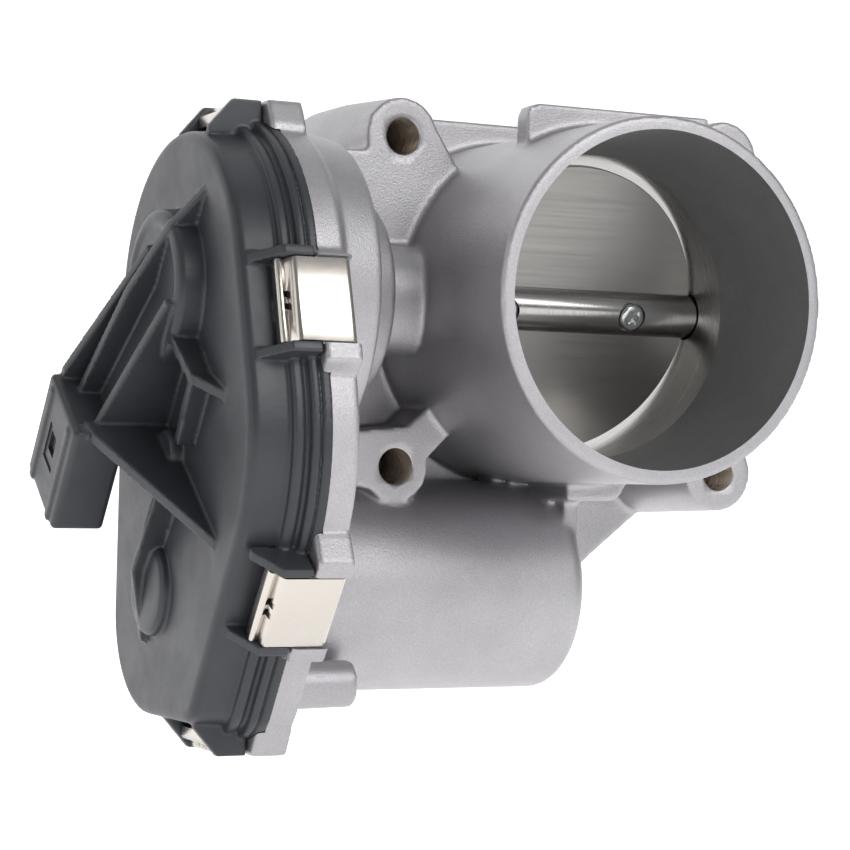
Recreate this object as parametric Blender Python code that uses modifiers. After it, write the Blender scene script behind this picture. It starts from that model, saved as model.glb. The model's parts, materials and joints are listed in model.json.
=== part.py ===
"""Electronic throttle body: cast housing, plate and shaft, gear train, motor, plastic cover and clips.

Origin: centre of the air bore on the rear mounting face. The air comes in at -Y and leaves at +Y,
X lies along the throttle shaft with the gears at -X, and Z is up. Sizes below are millimetres.
"""

import math

import bmesh
import bpy
from mathutils import Matrix, Vector

MM = 0.001
GAP = 0.3  # clearance kept between neighbouring pieces

# Air bore and shaft
BORE_R = 30.0
INLET_Y = -81.7
INLET_INNER_R = 32.1
INLET_OUTER_R = 34.7
TUBE_ROOT_R = 35.5
SHAFT_Y = -40.0
SHAFT_R = 4.65
SHAFT_X = (-71.8, 43.0)
REST_TILT = math.radians(16.5)  # plate angle when nothing drives it, top edge towards the inlet
PLATE_R = 29.6
PLATE_THICK = 2.0
PLATE_SCREW_X = (-14.5, 14.5)

# Mounting flange and its four bolt bosses
FLANGE_FRONT_Y = -16.0
BOLT_X = 35.4
BOLT_Z = 32.55
BOLT_HOLE_R = 3.5
LUG_R = 7.6
LUG_ROOT_R = 9.0
FLANGE_R = 7.5
GEAR_SIDE_LUG_Y = -39.2
FAR_SIDE_LUG_Y = -45.3

# Bearings in the two shaft bosses
BEARING_R = 7.1
BEARING_POCKET_R = 7.4
GEAR_SIDE_POCKET_X = (-47.5, -35.3)
FAR_SIDE_POCKET_X = (36.0, 47.0)
FAR_BOSS_END_X = 46.0

# Gear housing: the outline is the hull of four circles (y, z, radius)
OUTLINE = ((-39.0, -2.0, 32.0), (-43.5, -28.0, 35.3), (-47.5, -74.0, 7.0), (-26.0, -62.0, 19.5))
LIP_GROW = 3.0
LUG_GROW = 5.7
RIM_BACK_X = -61.8
RIM_FLOOR_X = -64.3
FLOOR_X = -57.0
DRUM_R = 30.4
DRUM_BACK_X = -53.0
DRUM_ROOM_R = 27.4
WHEEL_ROOM_R = 24.0
WHEEL_ROOM_X = -60.3
RIM_X = -67.4
COVER_REAR_X = -67.8
LIP_FRONT_X = -73.6
COVER_FACE_X = -82.0
COVER_WALL = 2.5
SPRING_DOME_R = 19.0
SPRING_CHAMBER_R = 16.0

# Motor
MOTOR_Y = -25.5
MOTOR_Z = -56.5
MOTOR_CASTING_R = 21.2
MOTOR_POCKET_R = 17.2
MOTOR_CAN_R = 16.9
MOTOR_CAN_WALL = 1.0
MOTOR_END_X = 4.6
MOTOR_POCKET_END_X = 1.8

# Gears: teeth and modules give the centre distances
PINION_TEETH = 12
WHEEL_TEETH = 56
MOTOR_MODULE = 0.8
SMALL_TEETH = 16
SECTOR_TEETH = 49
SECTOR_MODULE = 1.0
SECTOR_SPAN = (-86.0, 22.0)  # degrees either side of the line from the shaft to the pin
WHEEL_X = (-64.4, -60.8)
SMALL_X = (-71.5, -64.3)
SECTOR_X = (-71.0, -65.5)
PINION_X = (-64.9, -60.5)
PIN_R = 2.0

# Clips: name, outward direction in degrees (0 is +Y, 90 is +Z), and a point the clip is centred on (y, z)
CLIPS = (
    ("top", 90.0, (-40.8, 0.0)),
    ("near_upper", 163.5, (-78.0, -3.0)),
    ("near_lower", 216.0, (-71.5, -57.1)),
    ("bottom", 270.0, (-40.5, -80.0)),
    ("far_lower", 0.0, (-7.0, -54.0)),
    ("far_upper", 0.0, (-7.0, -6.0)),
)
CLIP_WIDTH = 15.6
CLIP_THICK = 0.6
CLIP_X = (-76.2, -62.4)
CLIP_FACE = 5.5
CLIP_LUG_X = (-69.2, -63.3)

# Connector on the cover: it points along PLUG_DIRECTION, in the cover's plane
PLUG_DIRECTION = Vector((0.0, 0.6, -0.8))
PLUG_ACROSS = Vector((0.0, -0.8, -0.6))
PLUG_CORNER = Vector((0.0, -21.4, -15.8))  # far upper corner, where the arm joins
PLUG_WIDTH = 20.0
PLUG_LENGTH = 23.0
PLUG_X = (-100.6, -89.0)
DISC_R = 15.0
DISC_FACE_X = -87.3

ALUMINIUM = ("cast_aluminium", (0.62, 0.62, 0.63), 0.55, 1.0)
BRUSHED = ("brushed_plate", (0.66, 0.65, 0.63), 0.35, 1.0)
STEEL = ("machined_steel", (0.42, 0.41, 0.40), 0.25, 1.0)
BLACK_PLASTIC = ("black_plastic", (0.035, 0.037, 0.042), 0.5, 0.0)
CLIP_STEEL = ("clip_steel", (0.80, 0.77, 0.72), 0.2, 1.0)
RUBBER = ("seal_rubber", (0.02, 0.02, 0.02), 0.8, 0.0)
GEAR_PLASTIC = ("gear_plastic", (0.75, 0.73, 0.66), 0.5, 0.0)
MAGNET = ("magnet", (0.09, 0.09, 0.10), 0.6, 0.2)
COPPER = ("copper", (0.72, 0.38, 0.22), 0.35, 1.0)
BOARD = ("circuit_board", (0.03, 0.20, 0.10), 0.5, 0.0)
TERMINAL = ("tinned_terminal", (0.78, 0.74, 0.60), 0.3, 1.0)


def clear_scene():
    for obj in list(bpy.data.objects):
        bpy.data.objects.remove(obj, do_unlink=True)


def make_collection(name):
    collection = bpy.data.collections.new(name)
    bpy.context.scene.collection.children.link(collection)
    return collection


def material_of(spec):
    name, color, roughness, metallic = spec
    found = bpy.data.materials.get(name)
    if found:
        return found
    material = bpy.data.materials.new(name)
    material.use_nodes = True
    shader = material.node_tree.nodes["Principled BSDF"]
    shader.inputs["Base Color"].default_value = (*color, 1.0)
    shader.inputs["Roughness"].default_value = roughness
    shader.inputs["Metallic"].default_value = metallic
    return material


def along(axis):
    """Rotation that takes the local Z axis to the given direction, with the cyclic order kept for X and Y."""
    if axis == "X":
        return Matrix(((0, 0, 1, 0), (1, 0, 0, 0), (0, 1, 0, 0), (0, 0, 0, 1)))
    if axis == "Y":
        return Matrix(((1, 0, 0, 0), (0, 0, 1, 0), (0, -1, 0, 0), (0, 0, 0, 1)))
    return Matrix.Identity(4)


def frame(origin, x_axis, y_axis, z_axis):
    """Placement from an origin and three unit directions, in millimetres."""
    columns = (Vector(x_axis), Vector(y_axis), Vector(z_axis))
    turn = Matrix([[column[row] for column in columns] for row in range(3)]).to_4x4()
    return Matrix.Translation(Vector(origin) * MM) @ turn


def add_mesh(name, mesh, place):
    obj = bpy.data.objects.new(name, mesh)
    CUTTERS.objects.link(obj)
    obj.matrix_world = place
    obj.hide_render = True
    obj.display_type = "WIRE"
    return obj


def apply_place(obj):
    """Moves the placement into the mesh, so that modifiers work in plain metres."""
    obj.data.transform(obj.matrix_world)
    obj.matrix_world = Matrix.Identity(4)
    return obj


def round_edges(obj, width, chosen, segments=2):
    """Rounds the edges whose two end points (in millimetres) both pass the chosen test."""
    mesh = bmesh.new()
    mesh.from_mesh(obj.data)
    edges = []
    for edge in mesh.edges:
        if edge.calc_length() > 1e-7 and all(chosen(v.co / MM) for v in edge.verts):
            edges.append(edge)
    bmesh.ops.bevel(mesh, geom=edges, offset=width * MM, segments=segments, profile=0.5, affect="EDGES")
    mesh.to_mesh(obj.data)
    mesh.free()
    return obj


def cylinder(name, radius, start, end, axis="X", centre=(0.0, 0.0), end_radius=None, sides=32):
    """Round bar along an axis from start to end. The centre is (y, z) for X and (x, z) for Y."""
    mesh = bmesh.new()
    bmesh.ops.create_cone(
        mesh,
        cap_ends=True,
        segments=sides,
        radius1=radius * MM,
        radius2=(radius if end_radius is None else end_radius) * MM,
        depth=(end - start) * MM,
    )
    data = bpy.data.meshes.new(name)
    mesh.to_mesh(data)
    mesh.free()
    middle = (start + end) / 2
    first, second = centre
    origin = (middle, first, second) if axis == "X" else (first, middle, second)
    return apply_place(add_mesh(name, data, Matrix.Translation(Vector(origin) * MM) @ along(axis)))


def box(name, low, high):
    mesh = bmesh.new()
    bmesh.ops.create_cube(mesh, size=1.0)
    size = Vector(high) - Vector(low)
    bmesh.ops.scale(mesh, vec=size * MM, verts=mesh.verts)
    bmesh.ops.translate(mesh, vec=(Vector(low) + Vector(high)) / 2 * MM, verts=mesh.verts)
    data = bpy.data.meshes.new(name)
    mesh.to_mesh(data)
    mesh.free()
    return add_mesh(name, data, Matrix.Identity(4))


def prism(name, outline, start, end, place):
    """Flat outline (mm) as a filled 2D curve, made solid from start to end along the placement's local Z."""
    curve = bpy.data.curves.new(name, "CURVE")
    curve.dimensions = "2D"
    curve.fill_mode = "BOTH"
    curve.extrude = abs(end - start) / 2 * MM
    spline = curve.splines.new("POLY")
    spline.points.add(len(outline) - 1)
    for point, (x, y) in zip(spline.points, outline):
        point.co = (x * MM, y * MM, 0.0, 1.0)
    spline.use_cyclic_u = True
    flat = bpy.data.objects.new(name + "_outline", curve)
    CUTTERS.objects.link(flat)
    bpy.context.view_layer.update()
    solid = bpy.data.meshes.new_from_object(flat.evaluated_get(bpy.context.evaluated_depsgraph_get()))
    bpy.data.objects.remove(flat, do_unlink=True)
    mesh = bmesh.new()
    mesh.from_mesh(solid)
    bmesh.ops.remove_doubles(mesh, verts=mesh.verts, dist=1e-7)
    bmesh.ops.dissolve_limit(mesh, angle_limit=1e-3, verts=mesh.verts, edges=mesh.edges)
    bmesh.ops.recalc_face_normals(mesh, faces=mesh.faces)
    bmesh.ops.translate(mesh, vec=(0.0, 0.0, (start + end) / 2 * MM), verts=mesh.verts)
    mesh.to_mesh(solid)
    mesh.free()
    return apply_place(add_mesh(name, solid, place))


def prism_x(name, outline, start, end):
    """Outline given as (y, z), solid from start to end along X."""
    return prism(name, outline, start, end, along("X"))


def prism_y(name, outline, start, end):
    """Outline given as (x, z), solid from start to end along Y."""
    return prism(name, [(x, -z) for x, z in outline], start, end, along("Y"))


def turned(name, profile, axis, centre, sides):
    """Solid of revolution from (radius, distance along the axis) points, listed down its outer side."""
    data = bpy.data.meshes.new(name)
    mesh = bmesh.new()
    points = [mesh.verts.new((radius * MM, 0.0, distance * MM)) for radius, distance in profile]
    for index, point in enumerate(points[:-1]):
        mesh.edges.new((point, points[index + 1]))
    if profile[0][0] > 0:
        mesh.edges.new((points[-1], points[0]))
    mesh.to_mesh(data)
    mesh.free()
    first, second = centre
    origin = {"X": (0.0, first, second), "Y": (first, 0.0, second)}[axis]
    obj = add_mesh(name, data, Matrix.Translation(Vector(origin) * MM) @ along(axis))
    screw = obj.modifiers.new("Turn", "SCREW")
    screw.steps = sides
    screw.render_steps = sides
    screw.use_merge_vertices = True
    screw.merge_threshold = 1e-5
    screw.use_normal_calculate = True
    bpy.context.view_layer.update()
    solid = bpy.data.meshes.new_from_object(obj.evaluated_get(bpy.context.evaluated_depsgraph_get()))
    mesh = bmesh.new()
    mesh.from_mesh(solid)
    bmesh.ops.recalc_face_normals(mesh, faces=mesh.faces)
    mesh.to_mesh(solid)
    mesh.free()
    obj.modifiers.clear()
    obj.data = solid
    return apply_place(obj)


def hull_outline(circles, grow=0.0, steps=60):
    """Outline round a set of circles (y, z, radius), grown outwards, as one point for each direction."""
    points = []
    for index in range(steps):
        angle = 2 * math.pi * index / steps
        way = (math.cos(angle), math.sin(angle))
        y, z, radius = max(circles, key=lambda circle: circle[0] * way[0] + circle[1] * way[1] + circle[2])
        points.append((y + (radius + grow) * way[0], z + (radius + grow) * way[1]))
    return points


def boolean(target, tool, operation):
    modifier = target.modifiers.new(tool.name, "BOOLEAN")
    modifier.object = tool
    modifier.operation = operation
    modifier.solver = "EXACT"


def join(target, *tools):
    for tool in tools:
        boolean(target, tool, "UNION")


def cut(target, *tools):
    for tool in tools:
        boolean(target, tool, "DIFFERENCE")


def keep(obj, name, material):
    """Turns a shape into a piece of the object: its modifiers are made real and it joins the collection."""
    bpy.context.view_layer.update()
    solid = bpy.data.meshes.new_from_object(obj.evaluated_get(bpy.context.evaluated_depsgraph_get()))
    obj.modifiers.clear()
    obj.data = solid
    solid.name = name
    solid.materials.clear()
    solid.materials.append(material_of(material))
    solid.shade_smooth()
    solid.set_sharp_from_angle(angle=math.radians(35))
    CUTTERS.objects.unlink(obj)
    PIECES.objects.link(obj)
    obj.name = name
    obj.hide_render = False
    obj.display_type = "TEXTURED"
    return obj


def on_axis(obj, centre):
    """Puts the object's origin on its joint axis without moving its shape."""
    offset = Vector(centre) * MM
    obj.data.transform(Matrix.Translation(-offset))
    obj.matrix_world = Matrix.Translation(offset)
    return obj


def clip_seat(direction, point):
    """Frame of a clip: origin on the housing outline, outward direction and the direction along the edge."""
    angle = math.radians(direction)
    outward = Vector((0.0, math.cos(angle), math.sin(angle)))
    sideways = Vector((0.0, -math.sin(angle), math.cos(angle)))
    reach = max(y * outward.y + z * outward.z + radius for y, z, radius in OUTLINE)
    slide = point[0] * sideways.y + point[1] * sideways.z
    return outward * reach + sideways * slide, outward, sideways


def block_at_clip(name, seat, profile, middle, width):
    """Solid whose profile is (x, outward) at a clip seat, centred at a distance along the edge."""
    origin, outward, sideways = seat
    place = frame(origin, (1.0, 0.0, 0.0), outward, sideways)
    return prism(name, profile, middle - width / 2, middle + width / 2, place)


def make_casting():
    tube_profile = [
        (0.0, INLET_Y),
        (INLET_OUTER_R - 1.0, INLET_Y),
        (INLET_OUTER_R, INLET_Y + 1.0),
        (TUBE_ROOT_R, FLANGE_FRONT_Y),
        (TUBE_ROOT_R, -0.4),
        (0.0, -0.4),
    ]
    body = turned("casting", tube_profile[::-1], "Y", (0.0, 0.0), 64)

    corners = [(sign_x * BOLT_X, sign_z * BOLT_Z) for sign_x in (-1, 1) for sign_z in (-1, 1)]
    flange = prism_y("flange", hull_outline([(x, z, FLANGE_R) for x, z in corners]), FLANGE_FRONT_Y, 0.0)
    skirt_outline = [
        (BOLT_X - 1.0, -BOLT_Z - 8.0),
        (14.0, -56.0),
        (-35.0, -56.0),
        (-35.0, -20.0),
        (20.0, -20.0),
    ]
    skirt = prism_y("flange_skirt", skirt_outline, FLANGE_FRONT_Y, -4.5)
    join(body, flange, skirt)
    for x, z in corners:
        face = GEAR_SIDE_LUG_Y if x < 0 else FAR_SIDE_LUG_Y
        join(body, cylinder("bolt_boss", LUG_R, face, -0.6, "Y", (x, z), LUG_ROOT_R - 0.2, 24))

    upper_web = [(-54.0, 7.0), (-22.0, 7.0), (-20.0, 23.5), (-29.6, 36.8), (-42.0, 28.0), (-54.0, 28.0)]
    lower_web = [
        (-58.4, -26.0),
        (-33.0, -24.4),
        (-26.0, -19.0),
        (-20.0, -22.0),
        (-28.4, -30.8),
        (-29.0, -38.0),
        (-58.4, -38.0),
    ]
    deep_web = [(-58.0, -30.0), (-58.0, -4.0), (-20.0, -4.0), (-20.0, -26.0), (-28.0, -30.0)]
    join(body, prism_y("upper_web", upper_web, GEAR_SIDE_LUG_Y, FLANGE_FRONT_Y + 1))
    join(body, prism_y("lower_web", lower_web, GEAR_SIDE_LUG_Y, FLANGE_FRONT_Y + 1))
    join(body, prism_y("deep_web", deep_web, GEAR_SIDE_LUG_Y + 8.0, FLANGE_FRONT_Y + 1))

    pad = box("top_pad", (-17.0, -57.0, 24.0), (24.0, -52.4, 38.6))
    round_edges(pad, 2.5, lambda p: p.x < -16 and (p.y < -56 or p.z > 38))
    join(body, pad)
    join(body, box("motor_web", (0.6, -42.5, -48.0), (4.0, FLANGE_FRONT_Y + 1, -28.0)))
    join(body, box("tube_rib", (2.0, -47.0, -38.4), (13.0, FLANGE_FRONT_Y + 1, -30.0)))

    join(body, cylinder("gear_side_boss", 10.6, -46.0, -28.0, "X", (SHAFT_Y, 0.0), sides=32))
    join(body, cylinder("far_side_boss", 10.6, 28.0, FAR_BOSS_END_X, "X", (SHAFT_Y, 0.0), sides=32))

    shaft_line = (SHAFT_Y, 0.0)
    motor_line = (MOTOR_Y, MOTOR_Z)
    rim = prism_x("housing_rim", hull_outline(OUTLINE, LIP_GROW - 0.5), RIM_X, RIM_BACK_X)
    drum = cylinder("sector_drum", DRUM_R + 1.4, RIM_BACK_X - 0.8, DRUM_BACK_X, "X", shaft_line, DRUM_R, 48)
    round_edges(drum, 1.2, lambda p: p.x > DRUM_BACK_X - 0.1)
    base_r = SPRING_DOME_R + 1.8
    dome = cylinder("spring_dome", base_r, DRUM_BACK_X - 1, -45.0, "X", shaft_line, SPRING_DOME_R, 36)
    round_edges(dome, 1.6, lambda p: p.x > -45.1)
    shell_r = WHEEL_ROOM_R + 2.8
    wheel_shell = cylinder("wheel_shell", shell_r, RIM_BACK_X - 1.1, -57.6, "X", PIN_CENTRE, sides=40)
    shell_circles = [(MOTOR_Y, MOTOR_Z, 20.0)] + [(y, z, 7.0) for y, z in END_PLATE_SCREWS]
    plate_shell = prism_x("end_plate_shell", hull_outline(shell_circles, steps=48), RIM_BACK_X - 0.6, -54.0)
    start = RIM_BACK_X - 0.4
    motor = cylinder("motor_casting", MOTOR_CASTING_R, start, MOTOR_END_X, "X", motor_line, sides=48)
    round_edges(motor, 3.1, lambda p: p.x > MOTOR_END_X - 0.1)
    join(body, rim, drum, dome, wheel_shell, plate_shell, motor)
    join(body, cylinder("pin_boss", 4.6, -59.4, -48.0, "X", PIN_CENTRE, sides=24))
    join(body, cylinder("locating_boss", 4.3, RIM_BACK_X - 0.7, -47.2, "X", (-45.5, -74.4), sides=24))
    for name, direction, point in CLIPS:
        front, back = CLIP_LUG_X
        step = LIP_GROW + GAP
        profile = [(RIM_X, -3.0), (RIM_X, step), (front, step), (front, LUG_GROW)]
        profile += [(back, LUG_GROW), (back, -3.0)]
        middle, width = (1.5, 20.2) if name == "near_upper" else (0.0, 23.2)
        seat = clip_seat(direction, point)
        join(body, block_at_clip("clip_lug_" + name, seat, profile[::-1], middle, width))

    bore_profile = [
        (0.0, INLET_Y - 5.0),
        (INLET_INNER_R, INLET_Y - 5.0),
        (INLET_INNER_R, INLET_Y + 1.0),
        (31.2, -58.0),
        (BORE_R, -53.0),
        (BORE_R, -24.0),
        (BORE_R + 0.5, -20.0),
        (BORE_R + 0.5, 5.0),
        (0.0, 5.0),
    ]
    cut(body, turned("bore", bore_profile[::-1], "Y", (0.0, 0.0), 64))
    seat_height = CLIP_FACE - CLIP_THICK - GAP
    notch = [
        (CLIP_LUG_X[0] - 1, seat_height),
        (CLIP_LUG_X[1] - 0.1, seat_height),
        (CLIP_LUG_X[1] - 0.1, LIP_GROW - 0.1),
        (RIM_BACK_X + 1, LIP_GROW - 0.1),
        (RIM_BACK_X + 1, LUG_GROW + 2),
        (CLIP_LUG_X[0] - 1, LUG_GROW + 2),
    ]
    for name, direction, point in CLIPS:
        seat = clip_seat(direction, point)
        cut(body, block_at_clip("clip_notch_" + name, seat, notch, 0.0, CLIP_WIDTH + 2 * GAP))
    cut(body, prism_x("gear_chamber", hull_outline(OUTLINE, -1.2), RIM_X - 2.0, RIM_FLOOR_X))
    cut(body, cylinder("drum_room", DRUM_ROOM_R, RIM_FLOOR_X - 1, FLOOR_X + 1, "X", shaft_line, sides=40))
    cut(body, cylinder("wheel_room", WHEEL_ROOM_R, RIM_FLOOR_X - 1, WHEEL_ROOM_X, "X", PIN_CENTRE, sides=40))
    start, end = GEAR_SIDE_POCKET_X
    cut(body, cylinder("spring_chamber", SPRING_CHAMBER_R, FLOOR_X - 1, start, "X", shaft_line))
    cut(body, cylinder("gear_side_pocket", BEARING_POCKET_R, start - 1, end, "X", shaft_line, sides=32))
    cut(body, cylinder("far_side_pocket", BEARING_POCKET_R, *FAR_SIDE_POCKET_X, "X", shaft_line, sides=32))
    cut(body, cylinder("shaft_hole", SHAFT_R + 0.35, -40.0, 40.0, "X", shaft_line, sides=32))
    plate_room = [(MOTOR_Y, MOTOR_Z, 17.9)] + [(y, z, 4.4) for y, z in END_PLATE_SCREWS]
    cut(body, prism_x("end_plate_room", hull_outline(plate_room, steps=48), RIM_FLOOR_X - 1, FLOOR_X))
    end = MOTOR_POCKET_END_X
    cut(body, cylinder("motor_pocket", MOTOR_POCKET_R, FLOOR_X - 1, end, "X", motor_line, sides=36))
    cut(body, cylinder("pin_hole", PIN_R + GAP, WHEEL_ROOM_X - 1, -50.0, "X", PIN_CENTRE, sides=20))
    for index, (y, z) in enumerate(END_PLATE_SCREWS):
        hole = cylinder(f"end_screw_hole_{index}", 1.5 + GAP, FLOOR_X - 1, -54.8, "X", (y, z), sides=16)
        cut(body, hole)
    for x, z in corners:
        cut(body, cylinder("bolt_hole", BOLT_HOLE_R, -60.0, 5.0, "Y", (x, z), sides=24))
    return keep(body, "throttle_casting", ALUMINIUM)


def plug_box(name, across, length, x_range):
    """Block in the connector's own directions: across and length are (start, end) from its far upper corner."""
    start_a, end_a = across
    start_b, end_b = length
    outline = [(start_a, start_b), (end_a, start_b), (end_a, end_b), (start_a, end_b)]
    place = frame(PLUG_CORNER, PLUG_ACROSS, PLUG_DIRECTION, PLUG_ACROSS.cross(PLUG_DIRECTION))
    sign = PLUG_ACROSS.cross(PLUG_DIRECTION).x
    low, high = sorted(sign * x for x in x_range)
    return prism(name, outline, low, high, place)


def fin(name, across, profile, thickness=2.0):
    """Wall parallel to the connector's direction: profile is (distance back from the connector, x)."""
    origin = PLUG_CORNER + PLUG_ACROSS * across
    along_x = Vector((1.0, 0.0, 0.0))
    place = frame(origin, -PLUG_DIRECTION, along_x, (-PLUG_DIRECTION).cross(along_x))
    return prism(name, profile, -thickness / 2, thickness / 2, place)


def make_cover():
    shell = prism_x("cover", hull_outline(OUTLINE), COVER_FACE_X, LIP_FRONT_X + 1)
    round_edges(shell, 2.5, lambda p: p.x < COVER_FACE_X + 0.1)
    lip = prism_x("cover_lip", hull_outline(OUTLINE, LIP_GROW), LIP_FRONT_X, COVER_REAR_X)
    disc = cylinder("sensor_boss", DISC_R, DISC_FACE_X, COVER_FACE_X + 1, "X", (SHAFT_Y, 0.0), sides=48)
    round_edges(disc, 1.5, lambda p: p.x < DISC_FACE_X + 0.1)
    join(shell, lip, disc)
    join(shell, cylinder("pin_bump", 4.7, -84.4, COVER_FACE_X + 1, "X", (-41.0, -31.0), sides=24))
    teardrop = hull_outline(((-29.0, -59.5, 6.6), (-36.0, -38.0, 3.0)), steps=36)
    join(shell, prism_x("motor_bump", teardrop, -84.0, COVER_FACE_X + 1))
    for name, direction, point in CLIPS:
        seat = clip_seat(direction, point)
        profile = [(-79.8, -1.0), (-79.8, 0.4), (-75.0, LUG_GROW), (-69.6, LUG_GROW), (-69.6, -1.0)]
        for side in (-1, 1):
            middle = side * (CLIP_WIDTH / 2 + GAP + 1.0)
            join(shell, block_at_clip(f"tab_{name}_{side}", seat, profile, middle, 2.0))

    join(shell, plug_box("plug_body", (0.0, PLUG_WIDTH), (0.0, PLUG_LENGTH), PLUG_X))
    far_wall = [(-1.0, -98.5), (30.0, -88.0), (30.0, -81.2), (-1.0, -81.2)]
    near_wall = [(-1.2, -97.4), (44.0, -85.4), (45.0, -81.3), (-1.2, -81.3)]
    third_wall = [(-1.4, -97.4), (28.0, -87.5), (28.0, -81.1), (-1.4, -81.1)]
    join(shell, fin("far_wall", 1.0, far_wall))
    join(shell, fin("near_wall", 5.5, near_wall))
    join(shell, fin("third_wall", 17.0, third_wall))
    panel = [(-0.8, -92.5), (27.0, -86.0), (27.0, -80.7), (-0.8, -80.7)]
    join(shell, fin("arm_panel", 9.0, panel, 15.0))
    gusset = [(PLUG_WIDTH - 2, -98.0), (52.0, -82.4), (52.0, -81.4), (PLUG_WIDTH - 2, -81.4)]
    place = frame(PLUG_CORNER, PLUG_ACROSS, (1.0, 0.0, 0.0), PLUG_ACROSS.cross(Vector((1.0, 0.0, 0.0))))
    join(shell, prism("gusset", gusset, -1.1, 1.1, place))

    cavity_outline = hull_outline(OUTLINE, -COVER_WALL)
    cut(shell, prism_x("cover_cavity", cavity_outline, COVER_FACE_X + COVER_WALL, COVER_REAR_X + 2))
    start = DISC_FACE_X + 2.5
    cut(shell, cylinder("sensor_room", DISC_R - 2.5, start, -78.0, "X", (SHAFT_Y, 0.0), sides=40))
    groove = prism_x("seal_groove", hull_outline(OUTLINE, 1.9), -70.0, COVER_REAR_X + 2)
    cut(groove, prism_x("seal_groove_inside", hull_outline(OUTLINE, -0.7), -75.0, COVER_REAR_X + 4))
    cut(shell, groove)
    depth = (PLUG_X[0] + 1.6, PLUG_X[1] - 1.6)
    socket = plug_box("plug_socket", (1.6, PLUG_WIDTH - 1.6), (9.0, PLUG_LENGTH + 5), depth)
    cut(shell, socket)
    return keep(shell, "gear_cover", BLACK_PLASTIC)


def make_gasket():
    ring = prism_x("gasket", hull_outline(OUTLINE, 1.5), -69.7, COVER_REAR_X + 0.1)
    cut(ring, prism_x("gasket_inside", hull_outline(OUTLINE, -0.3), -75.0, -60.0))
    return keep(ring, "cover_gasket", RUBBER)


def make_clips():
    low, high = CLIP_X
    inner = CLIP_FACE - CLIP_THICK
    profile = [
        (low, 1.8),
        (low, 3.9),
        (low + 1.6, 3.9),
        (low + 2.8, CLIP_FACE),
        (high - 0.5, CLIP_FACE),
        (high, CLIP_FACE - 0.5),
        (high, LIP_GROW + 0.2),
        (high - CLIP_THICK, LIP_GROW + 0.2),
        (high - CLIP_THICK, inner),
        (low + 3.1, inner),
        (low + 1.9, 3.9 - CLIP_THICK),
        (low + CLIP_THICK, 3.9 - CLIP_THICK),
        (low + CLIP_THICK, 1.8),
    ]
    for name, direction, point in CLIPS:
        clip = block_at_clip("clip", clip_seat(direction, point), profile, 0.0, CLIP_WIDTH)
        keep(clip, "cover_clip_" + name, CLIP_STEEL)


def plate_frame():
    """Axes of the plate at rest: local X along the shaft, Y up the plate, Z square to it."""
    up = Vector((0.0, -math.sin(REST_TILT), math.cos(REST_TILT)))
    side = Vector((1.0, 0.0, 0.0))
    return frame((0.0, SHAFT_Y, 0.0), side, up, side.cross(up))


def screw_hole(name, x, radius, start, end, sides=20):
    """Round hole square to the plate, from start to end measured from the shaft axis towards the inlet."""
    turns = [2 * math.pi * k / sides for k in range(sides)]
    circle = [(x + radius * math.cos(turn), radius * math.sin(turn)) for turn in turns]
    return prism(name, circle, start, end, plate_frame())


def make_throttle():
    place = plate_frame()
    centre = (0.0, SHAFT_Y, 0.0)
    shaft = cylinder("shaft", SHAFT_R, *SHAFT_X, "X", (SHAFT_Y, 0.0), sides=40)
    half_slot = PLATE_R + 0.7
    slot_outline = [(-half_slot, -6.0), (half_slot, -6.0), (half_slot, 6.0), (-half_slot, 6.0)]
    slot_depth = PLATE_THICK / 2 + GAP
    cut(shaft, prism("plate_slot", slot_outline, -slot_depth, slot_depth, place))
    turns = [2 * math.pi * k / 64 for k in range(64)]
    disc = [(PLATE_R * math.cos(turn), PLATE_R * math.sin(turn)) for turn in turns]
    plate = prism("plate", disc, -PLATE_THICK / 2, PLATE_THICK / 2, place)
    for x in PLATE_SCREW_X:
        cut(shaft, screw_hole("screw_way", x, 2.05, -6.0, 6.0))
        cut(shaft, screw_hole("head_seat", x, 3.1, 3.2, 6.0, 24))
        cut(plate, screw_hole("plate_hole", x, 2.05, -3.0, 3.0))
    on_axis(keep(shaft, "throttle_shaft", STEEL), centre)
    on_axis(keep(plate, "throttle_plate", BRUSHED), centre)
    for side, x in zip(("gear_side", "far_side"), PLATE_SCREW_X):
        screw = screw_hole("screw_shank", x, 1.7, -3.8, 4.0)
        join(screw, screw_hole("screw_head", x, 2.75, 3.5, 4.9, 24))
        cut(screw, screw_hole("screw_drive", x, 1.1, 4.1, 6.0, 6))
        on_axis(keep(screw, "plate_screw_" + side, STEEL), centre)


def bearing(name, start, end, material=STEEL):
    profile = [(BEARING_R, end), (BEARING_R, start), (SHAFT_R + 0.3, start), (SHAFT_R + 0.3, end)]
    return keep(turned("ring", profile, "X", (SHAFT_Y, 0.0), 28), name, material)


def make_bearings():
    bearing("shaft_bearing_gear_side", -46.9, -38.4)
    bearing("shaft_seal", -38.0, -35.7, RUBBER)
    bearing("shaft_bearing_far_side", 36.4, 42.9)
    plug = cylinder("plug", BEARING_R, 43.4, 45.4, "X", (SHAFT_Y, 0.0), sides=32)
    keep(plug, "shaft_end_plug", STEEL)


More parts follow.
